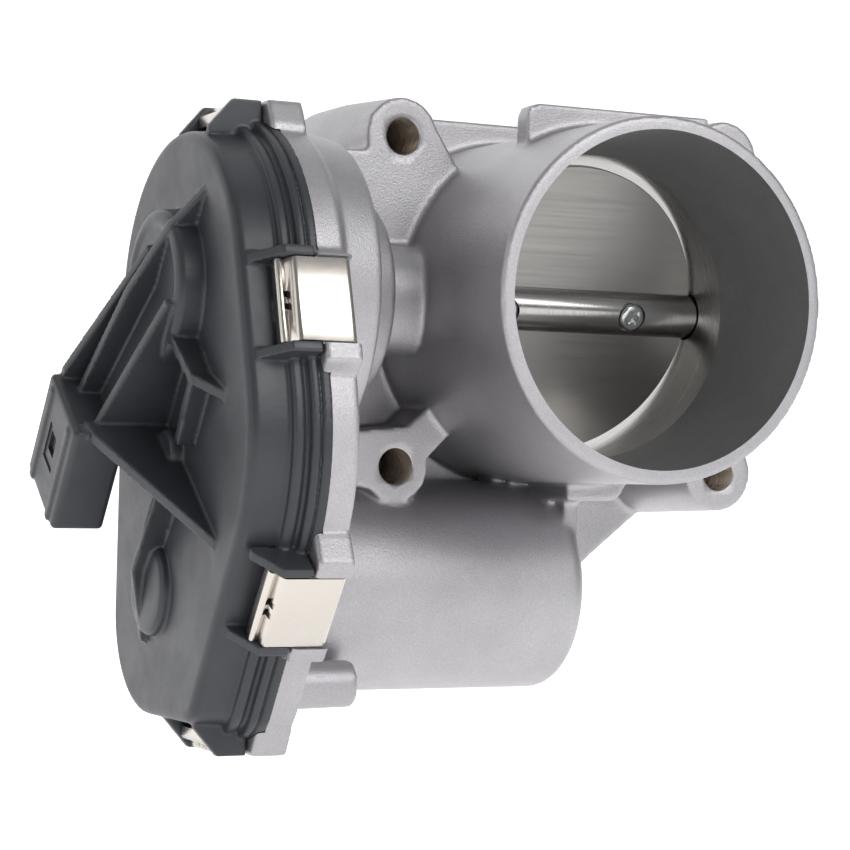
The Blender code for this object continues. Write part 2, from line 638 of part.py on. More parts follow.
def gear_outline(teeth, module, phase=0.0, span=None, addendum=0.85, dedendum=1.3):
    """Points of an involute gear about the origin. Span, in degrees, keeps only the teeth of a sector."""
    pitch_r = teeth * module / 2
    pressure = math.radians(22.5)
    base_r = pitch_r * math.cos(pressure)
    tip_r = pitch_r + addendum * module
    root_r = pitch_r - dedendum * module
    half_tooth = (math.pi / teeth) * 0.5 * 0.88
    involute_at_pitch = math.tan(pressure) - pressure

    def half_angle(radius):
        if radius <= base_r:
            return half_tooth + involute_at_pitch
        roll = math.acos(base_r / radius)
        return half_tooth + involute_at_pitch - (math.tan(roll) - roll)

    radii = (root_r, pitch_r, tip_r)
    points = []
    for tooth in range(teeth):
        middle = phase + 2 * math.pi * tooth / teeth
        if span is not None and not span[0] <= math.degrees(wrap(middle, span)) <= span[1]:
            continue
        middle = middle if span is None else wrap(middle, span)
        flank = [(radius, half_angle(radius)) for radius in radii]
        points += [(middle, middle - spread, radius) for radius, spread in flank]
        points += [(middle, middle + spread, radius) for radius, spread in flank[::-1]]
    points.sort(key=lambda point: point[0])
    return [(radius * math.cos(angle), radius * math.sin(angle)) for _, angle, radius in points]


def wrap(angle, span):
    """The same angle, moved by whole turns to lie near the middle of a span given in degrees."""
    middle = math.radians((span[0] + span[1]) / 2)
    return angle - 2 * math.pi * round((angle - middle) / (2 * math.pi))


def moved(outline, centre):
    return [(y + centre[0], z + centre[1]) for y, z in outline]


def make_gears():
    towards_pin = math.atan2(PIN_CENTRE[1], PIN_CENTRE[0] - SHAFT_Y)
    towards_motor = math.atan2(MOTOR_Z - PIN_CENTRE[1], MOTOR_Y - PIN_CENTRE[0])

    # Sector: a tooth lies on the line to the pin, and the small gear has a space there.
    span = tuple(math.degrees(towards_pin) + limit for limit in SECTOR_SPAN)
    teeth = gear_outline(SECTOR_TEETH, SECTOR_MODULE, towards_pin, span)
    hub_start = math.radians(span[1] + 30)
    hub_end = math.radians(span[0] - 30 + 360)
    hub_r = 9.0
    turns = [hub_start + (hub_end - hub_start) * k / 12 for k in range(13)]
    hub = [(hub_r * math.cos(turn), hub_r * math.sin(turn)) for turn in turns]
    sector = prism_x("sector", moved(teeth + hub, (SHAFT_Y, 0.0)), *SECTOR_X)
    join(sector, cylinder("sector_hub", 6.6, -72.2, -59.0, "X", (SHAFT_Y, 0.0)))
    cut(sector, cylinder("sector_bore", SHAFT_R + GAP, -75.0, -50.0, "X", (SHAFT_Y, 0.0)))
    on_axis(keep(sector, "sector_gear", GEAR_PLASTIC), (0.0, SHAFT_Y, 0.0))

    opposite = towards_pin + math.pi
    small = gear_outline(SMALL_TEETH, SECTOR_MODULE, opposite + math.pi / SMALL_TEETH)
    wheel = gear_outline(WHEEL_TEETH, MOTOR_MODULE, towards_motor)
    pair = prism_x("wheel", moved(wheel, PIN_CENTRE), *WHEEL_X)
    join(pair, prism_x("small_gear", moved(small, PIN_CENTRE), *SMALL_X))
    cut(pair, cylinder("pin_bore", PIN_R + GAP, -80.0, -50.0, "X", PIN_CENTRE, sides=24))
    on_axis(keep(pair, "intermediate_gear", GEAR_PLASTIC), (0.0, *PIN_CENTRE))
    keep(cylinder("pin", PIN_R, -75.5, -50.6, "X", PIN_CENTRE, sides=24), "intermediate_gear_pin", STEEL)

    back = towards_motor + math.pi
    pinion = gear_outline(PINION_TEETH, MOTOR_MODULE, back + math.pi / PINION_TEETH)
    pinion = prism_x("pinion", moved(pinion, (MOTOR_Y, MOTOR_Z)), *PINION_X)
    cut(pinion, cylinder("pinion_bore", 1.5 + GAP, -70.0, -50.0, "X", (MOTOR_Y, MOTOR_Z), sides=16))
    on_axis(keep(pinion, "motor_pinion", STEEL), (0.0, MOTOR_Y, MOTOR_Z))


def make_spring():
    turns, radius, wire_r = 3.4, 13.2, 0.8
    start_x, end_x = -57.2, -49.2
    steps = int(turns * 16)
    curve = bpy.data.curves.new("spring", "CURVE")
    curve.dimensions = "3D"
    curve.bevel_depth = wire_r * MM
    curve.bevel_resolution = 1
    curve.use_fill_caps = True
    spline = curve.splines.new("POLY")
    spline.points.add(steps)
    for index, point in enumerate(spline.points):
        share = index / steps
        angle = 2 * math.pi * turns * share + math.radians(200)
        x = start_x + (end_x - start_x) * share
        point.co = (x * MM, (SHAFT_Y + radius * math.cos(angle)) * MM, radius * math.sin(angle) * MM, 1.0)
    coil = bpy.data.objects.new("return_spring", curve)
    curve.materials.append(material_of(STEEL))
    PIECES.objects.link(coil)


def make_sensor():
    rotor = cylinder("rotor", 8.5, -75.2, -72.5, "X", (SHAFT_Y, 0.0), sides=32)
    on_axis(keep(rotor, "sensor_rotor", MAGNET), (0.0, SHAFT_Y, 0.0))
    board = box("board", (-79.2, SHAFT_Y - 11.0, -11.0), (-77.6, SHAFT_Y + 11.0, 11.0))
    keep(board, "sensor_board", BOARD)
    pitch = 2.5
    for index in range(6):
        middle = PLUG_WIDTH / 2 + (index - 2.5) * pitch
        x = (PLUG_X[0] + PLUG_X[1]) / 2
        pin = plug_box("pin", (middle - 0.45, middle + 0.45), (9.3, 17.5), (x - 0.45, x + 0.45))
        keep(pin, f"connector_terminal_{index + 1}", TERMINAL)


def make_motor():
    line = (MOTOR_Y, MOTOR_Z)
    centre = (0.0, MOTOR_Y, MOTOR_Z)
    inner = MOTOR_CAN_R - MOTOR_CAN_WALL
    can_profile = [
        (MOTOR_CAN_R, 1.3),
        (MOTOR_CAN_R, -56.2),
        (inner, -56.2),
        (inner, 0.2),
        (2.4, 0.2),
        (2.4, 1.3),
    ]
    keep(turned("can", can_profile, "X", line, 36), "motor_can", CLIP_STEEL)
    for index, middle in enumerate((90.0, 270.0)):
        arc = []
        for radius, order in ((inner - GAP, 1), (inner - 3.6, -1)):
            for k in range(0, 13)[::order]:
                angle = math.radians(middle - 62 + 124 * k / 12)
                arc.append((MOTOR_Y + radius * math.cos(angle), MOTOR_Z + radius * math.sin(angle)))
        keep(prism_x("magnet", arc, -44.0, -6.0), f"motor_magnet_{index + 1}", MAGNET)
    core_r = inner - 4.3
    armature = cylinder("core", core_r, -42.0, -10.0, "X", line, sides=36)
    slots = 5
    for index in range(slots):
        angle = 2 * math.pi * index / slots
        spot = (MOTOR_Y + (core_r + 0.4) * math.cos(angle), MOTOR_Z + (core_r + 0.4) * math.sin(angle))
        cut(armature, cylinder(f"winding_slot_{index}", 2.2, -45.0, -5.0, "X", spot, sides=12))
    join(armature, cylinder("commutator", 5.0, -50.5, -41.0, "X", line, sides=20))
    join(armature, cylinder("rotor_shaft", 1.5, -65.0, 1.0, "X", line, sides=20))
    on_axis(keep(armature, "motor_armature", COPPER), centre)
    for index, side in enumerate((-1, 1)):
        low = (-50.0, MOTOR_Y + (5.4 if side > 0 else -10.4), MOTOR_Z - 2.0)
        high = (-46.0, MOTOR_Y + (10.4 if side > 0 else -5.4), MOTOR_Z + 2.0)
        keep(box("brush", low, high), f"motor_brush_{index + 1}", MAGNET)
    plate_circles = [(MOTOR_Y, MOTOR_Z, 15.0)] + [(y, z, 4.0) for y, z in END_PLATE_SCREWS]
    plate = prism_x("end_plate", hull_outline(plate_circles, steps=48), -58.9, -57.3)
    cut(plate, cylinder("end_plate_hole", 3.0, -62.0, -50.0, "X", line, sides=24))
    for index, (y, z) in enumerate(END_PLATE_SCREWS):
        hole = cylinder(f"end_plate_screw_hole_{index}", 1.5 + GAP, -62.0, -50.0, "X", (y, z), sides=16)
        cut(plate, hole)
        screw = cylinder("screw", 1.5, -59.5, -55.2, "X", (y, z), sides=16)
        join(screw, cylinder("screw_head", 2.8, -60.3, -59.2, "X", (y, z), sides=20))
        keep(screw, f"motor_plate_screw_{index + 1}", STEEL)
    keep(plate, "motor_end_plate", CLIP_STEEL)


def pin_centre():
    """Where the intermediate gear's pin lies, from the centre distances of the two gear pairs."""
    to_shaft = (SECTOR_TEETH + SMALL_TEETH) * SECTOR_MODULE / 2
    to_motor = (WHEEL_TEETH + PINION_TEETH) * MOTOR_MODULE / 2
    reach = Vector((MOTOR_Y - SHAFT_Y, MOTOR_Z))
    along_line = (to_shaft**2 - to_motor**2 + reach.length**2) / (2 * reach.length)
    aside = math.sqrt(to_shaft**2 - along_line**2)
    way = reach.normalized()
    pin = way * along_line + Vector((way.y, -way.x)) * aside
    return (SHAFT_Y + pin.x, pin.y)


clear_scene()
PIECES = make_collection("throttle_body")
CUTTERS = make_collection("cutters")
CUTTERS.hide_render = True
PIN_CENTRE = pin_centre()
END_PLATE_SCREWS = tuple(
    (MOTOR_Y + 19.0 * math.cos(math.radians(angle)), MOTOR_Z + 19.0 * math.sin(math.radians(angle)))
    for angle in (-165.0, 62.0)
)
make_casting()
make_cover()
make_gasket()
make_clips()
make_throttle()
make_bearings()
make_gears()
make_spring()
make_sensor()
make_motor()
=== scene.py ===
"""Studio scene of the electronic throttle body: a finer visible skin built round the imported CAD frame."""

import json
import math

import bmesh
import bpy
from mathutils import Matrix, Vector


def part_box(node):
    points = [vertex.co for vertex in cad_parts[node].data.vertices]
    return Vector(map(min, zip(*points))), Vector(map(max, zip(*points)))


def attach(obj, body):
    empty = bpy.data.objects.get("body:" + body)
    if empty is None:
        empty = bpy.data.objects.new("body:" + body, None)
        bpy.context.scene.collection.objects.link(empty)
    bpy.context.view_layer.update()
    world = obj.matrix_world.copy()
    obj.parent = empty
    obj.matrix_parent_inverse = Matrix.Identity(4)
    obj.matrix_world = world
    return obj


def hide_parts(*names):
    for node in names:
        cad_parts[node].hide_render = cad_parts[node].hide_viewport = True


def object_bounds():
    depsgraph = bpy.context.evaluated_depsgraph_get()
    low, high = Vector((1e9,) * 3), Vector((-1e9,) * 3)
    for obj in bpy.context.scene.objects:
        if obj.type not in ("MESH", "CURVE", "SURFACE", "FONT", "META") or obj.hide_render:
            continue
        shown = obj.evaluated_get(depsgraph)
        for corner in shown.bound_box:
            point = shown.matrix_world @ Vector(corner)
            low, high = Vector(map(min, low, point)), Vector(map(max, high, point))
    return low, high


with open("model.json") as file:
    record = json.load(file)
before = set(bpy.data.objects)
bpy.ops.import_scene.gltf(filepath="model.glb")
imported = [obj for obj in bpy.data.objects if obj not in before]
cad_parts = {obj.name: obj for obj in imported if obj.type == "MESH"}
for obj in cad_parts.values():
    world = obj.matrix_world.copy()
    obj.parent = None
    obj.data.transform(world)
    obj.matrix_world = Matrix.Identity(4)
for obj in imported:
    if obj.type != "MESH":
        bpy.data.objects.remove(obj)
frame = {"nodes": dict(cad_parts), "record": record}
cad_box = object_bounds()

# ---------------------------------------------------------------------------------------------
# Dimensions in millimetres, in the CAD's frame: bore along Y, shaft along X, Z up.
# ---------------------------------------------------------------------------------------------
SHAFT_Y = -40.0
INLET_Y = -81.7
INLET_OUTER_R = 34.7
TUBE_ROOT_R = 35.5
INLET_INNER_R = 32.1
BORE_R = 30.0
FLANGE_FRONT_Y = -16.0
BOLT_X = 35.4
BOLT_Z = 32.55
BOLT_HOLE_R = 3.5
LUG_R = 7.6
LUG_ROOT_R = 9.0
FLANGE_R = 7.5
GEAR_SIDE_LOW_LUG_R = 7.0
GEAR_SIDE_LUG_Y = -39.2
FAR_SIDE_LUG_Y = -45.3
SHAFT_R = 4.65
PLATE_R = 29.6
PLATE_THICK = 2.0
REST_TILT = math.radians(16.5)
PLATE_SCREW_X = (-14.5, 14.5)
MOTOR_Y = -25.5
MOTOR_Z = -56.5
MOTOR_R = 21.2
MOTOR_END_X = 4.6
MOTOR_ROOM_R = 17.2
SHAFT_BOSS_R = 10.8
SHAFT_POCKET_R = 7.4
# Gear housing: circles (y, z, radius) whose common hull is the outline of the cover and the rim.
OUTLINE = ((-39.0, -2.0, 32.0), (-43.5, -28.0, 35.3), (-47.5, -74.0, 7.0), (-26.0, -62.0, 19.5))
LIP_GROW = 3.0
LUG_GROW = 5.7
RIM_BACK_X = -61.8
RIM_FLOOR_X = -64.3
DRUM_R = 30.4
DRUM_BACK_X = -53.0
DRUM_ROOM_R = 27.4
WHEEL_ROOM_R = 24.0
WHEEL_ROOM_X = -60.3
DOME_ROOT_R = 21.5
DOME_END_R = 19.4
DOME_BACK_X = -45.0
FLOOR_X = -57.0
RIM_X = -67.4
COVER_REAR_X = -67.5
COVER_FACE_X = -82.0
DISC_R = 15.0
DISC_FACE_X = -87.3
LOWER_BOSS_CENTRE = (-31.1, -56.8)
PIN_CENTRE = (-38.2067, -32.4505)
# Clips: name, direction in degrees from +Y towards +Z, a point (y, z) on the edge, and width.
CLIPS = (
    ("top", 90.0, (-40.8, 0.0), 12.8),
    ("near_upper", 163.5, (-78.0, -3.0), 15.6),
    ("near_lower", 216.0, (-71.5, -57.1), 15.6),
    ("bottom", 270.0, (-40.5, -80.0), 12.8),
    ("far_lower", 0.0, (-7.0, -54.0), 15.6),
    ("far_upper", 0.0, (-7.0, -6.0), 15.6),
)
CLIP_SHEET = 0.6
CLIP_FACE = 5.5
CLIP_SEAT = 4.7
CLIP_SEAT_X = -63.3
CLIP_LUG_X = -69.1
TAB_THICK = 1.9
X_AXIS = Vector((1.0, 0.0, 0.0))
# Connector: it points along PLUG_DIRECTION, and its width runs along PLUG_ACROSS from PLUG_CORNER.
PLUG_DIRECTION = Vector((0.0, 0.6, -0.8))
PLUG_ACROSS = Vector((0.0, -0.8, -0.6))
PLUG_CORNER = Vector((0.0, -21.4, -15.8))
PLUG_WIDTH = 20.0
PLUG_LENGTH = 23.0
PLUG_X = (-100.6, -90.2)

# ---------------------------------------------------------------------------------------------
# Mesh helpers. Shapes are made in millimetres and scaled once, when a piece is finished.
# ---------------------------------------------------------------------------------------------


def new_object(name, mesh_maker):
    data = bpy.data.meshes.new(name)
    mesh = bmesh.new()
    mesh_maker(mesh)
    bmesh.ops.recalc_face_normals(mesh, faces=mesh.faces)
    mesh.to_mesh(data)
    mesh.free()
    obj = bpy.data.objects.new(name, data)
    bpy.context.scene.collection.objects.link(obj)
    return obj


def rings_solid(name, rings):
    """Closed solid through rings of the same number of points, capped at both ends."""

    def make(mesh):
        made = [[mesh.verts.new(point) for point in ring] for ring in rings]
        count = len(rings[0])
        for low, high in zip(made, made[1:]):
            for k in range(count):
                mesh.faces.new((low[k], low[(k + 1) % count], high[(k + 1) % count], high[k]))
        mesh.faces.new(made[0][::-1])
        mesh.faces.new(made[-1])

    return new_object(name, make)


def place_point(axis, centre, u, v, w):
    """(u, v) across the axis and w along it, as a point: across X that is (y, z), and across Y (x, z)."""
    if axis == "X":
        return Vector((w, centre[0] + u, centre[1] + v))
    if axis == "Y":
        return Vector((centre[0] + u, w, centre[1] + v))
    return Vector((centre[0] + u, centre[1] + v, w))


def turned(name, profile, axis, centre=(0.0, 0.0), sides=96):
    """Solid of revolution whose profile is (distance along the axis, radius)."""
    rings = []
    for along, radius in profile:
        ring = []
        for k in range(sides):
            angle = 2 * math.pi * k / sides
            u, v = radius * math.cos(angle), radius * math.sin(angle)
            ring.append(place_point(axis, centre, u, v, along))
        rings.append(ring)
    return rings_solid(name, rings)


def fillet_profile(start, end, radius, fillet, end_radius=None, steps=6):
    """Profile of a bar whose end edge is rounded, and which may taper to an end radius."""
    last = radius if end_radius is None else end_radius
    points = [(start, radius)]
    for t in range(steps + 1):
        angle = t * math.pi / 2 / steps
        along = end - fillet + fillet * math.sin(angle)
        points.append((along, last - fillet + fillet * math.cos(angle)))
    return points


def prism(name, outline, low, high, axis="X"):
    """Outline across the axis, solid from low to high along it."""
    rings = [[place_point(axis, (0, 0), u, v, w) for u, v in outline] for w in (low, high)]
    return rings_solid(name, rings)


def framed_prism(name, outline, half, origin, u_axis, v_axis):
    """Outline in a plane given by an origin and two directions, thickened by half to either side."""
    normal = u_axis.cross(v_axis).normalized()
    rings = [[origin + u_axis * u + v_axis * v + normal * w for u, v in outline] for w in (-half, half)]
    return rings_solid(name, rings)


def hull_points(circles, grow=0.0, steps=180):
    """Outline round circles (y, z, radius), with its points spaced by direction."""
    points = []
    for k in range(steps):
        angle = 2 * math.pi * k / steps
        way = (math.cos(angle), math.sin(angle))
        y, z, radius = max(circles, key=lambda c: c[0] * way[0] + c[1] * way[1] + c[2])
        points.append((y + (radius + grow) * way[0], z + (radius + grow) * way[1]))
    return points


def hull_loft(name, profile, circles=OUTLINE):
    """Solid through the outline, grown by a different amount at each (x, grow)."""
    rings = []
    for x, grow in profile:
        rings.append([place_point("X", (0, 0), y, z, x) for y, z in hull_points(circles, grow)])
    return rings_solid(name, rings)


def merge(name, objects):
    """One object from several, without a Boolean: their meshes simply lie together."""
    mesh = bmesh.new()
    for obj in objects:
        mesh.from_mesh(obj.data)
        bpy.data.objects.remove(obj, do_unlink=True)
    data = bpy.data.meshes.new(name)
    mesh.to_mesh(data)
    mesh.free()
    made = bpy.data.objects.new(name, data)
    bpy.context.scene.collection.objects.link(made)
    return made


def apply_modifiers(obj):
    bpy.context.view_layer.update()
    graph = bpy.context.evaluated_depsgraph_get()
    data = bpy.data.meshes.new_from_object(obj.evaluated_get(graph))
    obj.modifiers.clear()
    obj.data = data
    return obj


def cast_skin(name, objects, voxel, rounds):
    """Overlapping shapes fused on a voxel grid and relaxed, which rounds every edge as a mould does."""
    obj = merge(name, objects)
    remesh = obj.modifiers.new("Fuse", "REMESH")
    remesh.mode = "VOXEL"
    remesh.voxel_size = voxel
    relax = obj.modifiers.new("Relax", "SMOOTH")
    relax.factor = 0.5
    relax.iterations = rounds
    return apply_modifiers(obj)


def thin_out(obj, target):
    """Lowers the triangle count where the surface is flat."""
    triangles = sum(len(face.vertices) - 2 for face in obj.data.polygons)
    if triangles > target:
        thin = obj.modifiers.new("Thin", "DECIMATE")
        thin.ratio = target / triangles
        apply_modifiers(obj)
    return obj


def boolean(target, tool, operation, finish=0, solver="EXACT"):
    """Applies a Boolean and removes the tool. Finish is the material index of the tool's faces."""
    for obj, index in ((target, None), (tool, finish)):
        while len(obj.data.materials) < len(FINISHES):
            obj.data.materials.append(FINISHES[len(obj.data.materials)])
        if index is not None:
            for face in obj.data.polygons:
                face.material_index = index
    modifier = target.modifiers.new("Boolean", "BOOLEAN")
    modifier.object = tool
    modifier.operation = operation
    modifier.solver = solver
    apply_modifiers(target)
    bpy.data.objects.remove(tool, do_unlink=True)
    return target


def finish_piece(obj, name, body, nodes, material=None, sharp=40.0):
    """Scales a finished shape to metres, names it and ties it to the CAD."""
    obj.data.transform(Matrix.Scale(0.001, 4))
    obj.name = name
    obj.data.name = name
    if material is not None:
        obj.data.materials.clear()
        obj.data.materials.append(material)
    obj.data.shade_smooth()
    obj.data.set_sharp_from_angle(angle=math.radians(sharp))
    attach(obj, body)
    if nodes:
        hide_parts(*nodes)
    return obj


def bevel(obj, width, angle=30.0, segments=2):
    modifier = obj.modifiers.new("Bevel", "BEVEL")
    modifier.width = width
    modifier.segments = segments
    modifier.limit_method = "ANGLE"
    modifier.angle_limit = math.radians(angle)
    return apply_modifiers(obj)


# ---------------------------------------------------------------------------------------------
# Materials
# ---------------------------------------------------------------------------------------------


class Nodes:
    """A material's node tree, built up one call at a time."""

    def __init__(self, name):
        self.material = bpy.data.materials.new(name)
        self.material.use_nodes = True
        self.tree = self.material.node_tree
        self.shader = self.tree.nodes["Principled BSDF"]
        self.place = self.add("ShaderNodeTexCoord").outputs["Object"]

    def add(self, kind, **values):
        node = self.tree.nodes.new(kind)
        for key, value in values.items():
            setattr(node, key, value)
        return node

    def link(self, source, target):
        self.tree.links.new(source, target)

    def stretched(self, scale):
        mapping = self.add("ShaderNodeMapping")
        mapping.inputs["Scale"].default_value = scale
        self.link(self.place, mapping.inputs["Vector"])
        return mapping.outputs["Vector"]

    def noise(self, scale, detail=3.0, roughness=0.55, vector=None):
        node = self.add("ShaderNodeTexNoise")
        node.inputs["Scale"].default_value = scale
        node.inputs["Detail"].default_value = detail
        node.inputs["Roughness"].default_value = roughness
        self.link(vector or self.place, node.inputs["Vector"])
        return node.outputs["Fac"]

    def cells(self, scale):
        node = self.add("ShaderNodeTexVoronoi")
        node.inputs["Scale"].default_value = scale
        self.link(self.place, node.inputs["Vector"])
        return node.outputs["Distance"]

    def ramp(self, source, stops):
        node = self.add("ShaderNodeValToRGB")
        elements = node.color_ramp.elements
        for index, (position, color) in enumerate(stops):
            element = elements[index] if index < 2 else elements.new(position)
            element.position = position
            element.color = (*color, 1.0) if len(color) == 3 else color
        self.link(source, node.inputs["Fac"])
        return node.outputs["Color"]

    def span(self, source, low, high, to_low, to_high):
        node = self.add("ShaderNodeMapRange")
        limits = {"From Min": low, "From Max": high, "To Min": to_low, "To Max": to_high}
        for key, value in limits.items():
            node.inputs[key].default_value = value
        self.link(source, node.inputs["Value"])
        return node.outputs["Result"]

    def math(self, operation, first, second):
        node = self.add("ShaderNodeMath", operation=operation)
        for socket, value in zip(node.inputs, (first, second)):
            if isinstance(value, (int, float)):
                socket.default_value = value
            else:
                self.link(value, socket)
        return node.outputs["Value"]

    def mix(self, factor, first, second, blend="MIX"):
        node = self.add("ShaderNodeMix", data_type="RGBA", blend_type=blend)
        inputs = node.inputs
        for socket, value in ((inputs[0], factor), (inputs[6], first), (inputs[7], second)):
            if isinstance(value, (int, float)):
                socket.default_value = value
            elif isinstance(value, tuple):
                socket.default_value = (*value, 1.0)
            else:
                self.link(value, socket)
        return node.outputs[2]

    def bump(self, height, distance, strength=1.0, under=None):
        node = self.add("ShaderNodeBump")
        node.inputs["Distance"].default_value = distance
        node.inputs["Strength"].default_value = strength
        self.link(height, node.inputs["Height"])
        if under is not None:
            self.link(under, node.inputs["Normal"])
        return node.outputs["Normal"]

    def finish(self, color, roughness, metallic, normal=None, **fixed):
        for name, value in (("Base Color", color), ("Roughness", roughness), ("Normal", normal)):
            if value is None:
                continue
            if isinstance(value, (int, float)):
                self.shader.inputs[name].default_value = value
            elif isinstance(value, tuple):
                self.shader.inputs[name].default_value = (*value, 1.0)
            else:
                self.link(value, self.shader.inputs[name])
        self.shader.inputs["Metallic"].default_value = metallic
        for name, value in fixed.items():
            self.shader.inputs[name.replace("_", " ")].default_value = value
        return self.material


def cast_metal(name, dark, light, roughness, grain, depth):
    """Shot-blasted casting: fine pits over slow changes of tone."""
    n = Nodes(name)
    patches = n.noise(55.0, 4.0, 0.6)
    color = n.ramp(patches, ((0.3, dark), (0.7, light)))
    speckle = n.noise(grain * 1.6, 2.0, 0.5)
    speckled = n.mix(n.span(speckle, 0.35, 0.65, 0.0, 0.45), color, tuple(c * 0.72 for c in dark))
    pits = n.cells(grain * 0.9)
    fine = n.noise(grain * 1.2, 3.0, 0.6)
    height = n.math("ADD", n.math("MULTIPLY", pits, 0.5), fine)
    normal = n.bump(height, depth)
    rough = n.span(fine, 0.3, 0.7, roughness - 0.06, roughness + 0.08)
    return n.finish(speckled, rough, 1.0, normal)


def cut_metal(name, color, roughness, stretch, streaks, contrast=0.35, depth=0.5):
    """Machined metal, with fine tool marks along one direction."""
    n = Nodes(name)
    marks = n.noise(streaks, 2.0, 0.6, n.stretched(stretch))
    tone = n.mix(n.span(marks, 0.35, 0.65, 0.0, contrast), color, tuple(c * 0.75 for c in color))
    rough = n.span(marks, 0.3, 0.7, roughness - 0.05, roughness + 0.07)
    return n.finish(tone, rough, 1.0, n.bump(marks, 0.00003, depth))


def moulded_plastic(name, color, roughness):
    n = Nodes(name)
    slow = n.noise(45.0, 3.0, 0.6)
    darker = tuple(c * 0.85 for c in color)
    lighter = tuple(c * 1.2 for c in color)
    tone = n.ramp(slow, ((0.3, darker), (0.7, lighter)))
    spark = n.noise(2600.0, 2.0, 0.5)
    rough = n.span(n.noise(140.0, 4.0, 0.65), 0.3, 0.7, roughness - 0.06, roughness + 0.06)
    return n.finish(tone, rough, 0.0, n.bump(spark, 0.00002, 0.6), Specular_IOR_Level=0.5)


def plain(name, color, roughness, metallic, grain=900.0):
    n = Nodes(name)
    slow = n.noise(grain, 3.0, 0.5)
    tone = n.mix(n.span(slow, 0.3, 0.7, 0.0, 0.3), color, tuple(c * 0.75 for c in color))
    return n.finish(tone, n.span(slow, 0.3, 0.7, roughness - 0.05, roughness + 0.05), metallic)


PIT_DEPTH = 0.00005
CAST = cast_metal("cast_aluminium_skin", (0.45, 0.44, 0.46), (0.53, 0.52, 0.535), 0.50, 2600.0, PIT_DEPTH)
# Darker copy of the cast finish for the inlet's inner wall: painted shade inside the tube.
CAST_SHADED_INSIDE = cast_metal(
    "cast_aluminium_painted_shade_inside", (0.38, 0.38, 0.385), (0.44, 0.44, 0.445), 0.52, 2400.0, PIT_DEPTH
)
MACHINED = cut_metal("machined_aluminium", (0.50, 0.49, 0.475), 0.30, (1.0, 40.0, 1.0), 60.0, 0.10, 0.06)
HOLE = cut_metal("drilled_aluminium", (0.50, 0.46, 0.42), 0.28, (1.0, 30.0, 1.0), 70.0)
FINISHES = [CAST, CAST_SHADED_INSIDE, MACHINED, HOLE]
PLASTIC = moulded_plastic("cover_plastic", (0.033, 0.035, 0.042), 0.40)
CLIP_METAL = cut_metal("nickel_clip", (0.66, 0.62, 0.57), 0.24, (1.0, 1.0, 1.0), 60.0, 0.10, 0.05)
BRUSHED = cut_metal("brushed_plate_metal", (0.30, 0.29, 0.28), 0.36, (1.0, 60.0, 60.0), 30.0, 0.03, 0.01)
SHAFT_METAL = cut_metal("ground_steel", (0.45, 0.44, 0.43), 0.20, (40.0, 1.0, 1.0), 60.0)
SCREW_METAL = plain("zinc_screw", (0.55, 0.57, 0.56), 0.22, 1.0)


def clip_seat(direction, point):
    """Where a clip sits on the outline: the seat's origin, the way out and the way along the edge."""
    angle = math.radians(direction)
    outward = Vector((0.0, math.cos(angle), math.sin(angle)))
    sideways = Vector((0.0, -math.sin(angle), math.cos(angle)))
    reach = max(y * outward.y + z * outward.z + radius for y, z, radius in OUTLINE)
    along = point[0] * sideways.y + point[1] * sideways.z
    return outward * reach + sideways * along, outward, sideways


def at_clip(name, seat, profile, middle, width):
    """Solid whose profile is (x, outward) at a clip's seat, centred at a distance along the edge."""
    origin, outward, sideways = seat
    centre = origin + sideways * middle
    return framed_prism(name, profile, width / 2, centre, X_AXIS, outward)


# ---------------------------------------------------------------------------------------------
# Casting
# ---------------------------------------------------------------------------------------------
CORNERS = [(sx * BOLT_X, sz * BOLT_Z) for sx in (-1, 1) for sz in (-1, 1)]
SHAFT_LINE = (SHAFT_Y, 0.0)
MOTOR_LINE = (MOTOR_Y, MOTOR_Z)


def clip_lug(seat, low, high):
    """Raised pad on the housing's rim that a clip hooks behind, with sloping ends."""
    origin, outward, sideways = seat
    rise = LUG_GROW + 0.1
    start, end = low - 2.6, high + 2.6
    section = [(start, 1.0), (low, rise), (high, rise), (end, 1.0), (end, -3.0), (start, -3.0)]
    rings = []
    for x in (CLIP_LUG_X, RIM_BACK_X):
        rings.append([origin + sideways * s + outward * h + Vector((x, 0.0, 0.0)) for s, h in section])
    return rings_solid("clip_lug", rings)


def tube_and_flange():
    """Inlet tube, rear flange with its skirt, and the four bolt bosses."""
    tube = [(INLET_Y - 0.1, INLET_OUTER_R), (FLANGE_FRONT_Y, TUBE_ROOT_R), (-2.0, TUBE_ROOT_R)]
    flange = hull_points([(x, z, FLANGE_R) for x, z in CORNERS], steps=120)
    skirt = [
        (BOLT_X - 1.0, -BOLT_Z - 8.4),
        (23.4, -49.8),
        (14.0, -57.5),
        (-35.0, -56.0),
        (-35.0, -20.0),
        (20.0, -20.0),
    ]
    shapes = [
        turned("tube", tube, "Y", sides=160),
        prism("flange", flange, FLANGE_FRONT_Y, 2.0, "Y"),
        prism("skirt", skirt, FLANGE_FRONT_Y, -4.5, "Y"),
    ]
    for x, z in CORNERS:
        face = GEAR_SIDE_LUG_Y if x < 0 else FAR_SIDE_LUG_Y
        radius = GEAR_SIDE_LOW_LUG_R if x < 0 and z < 0 else LUG_R + 0.1
        profile = [(face, radius), (FLANGE_FRONT_Y, LUG_ROOT_R), (-2.0, LUG_ROOT_R)]
        shapes.append(turned("lug", profile, "Y", (x, z), 64))
    return shapes


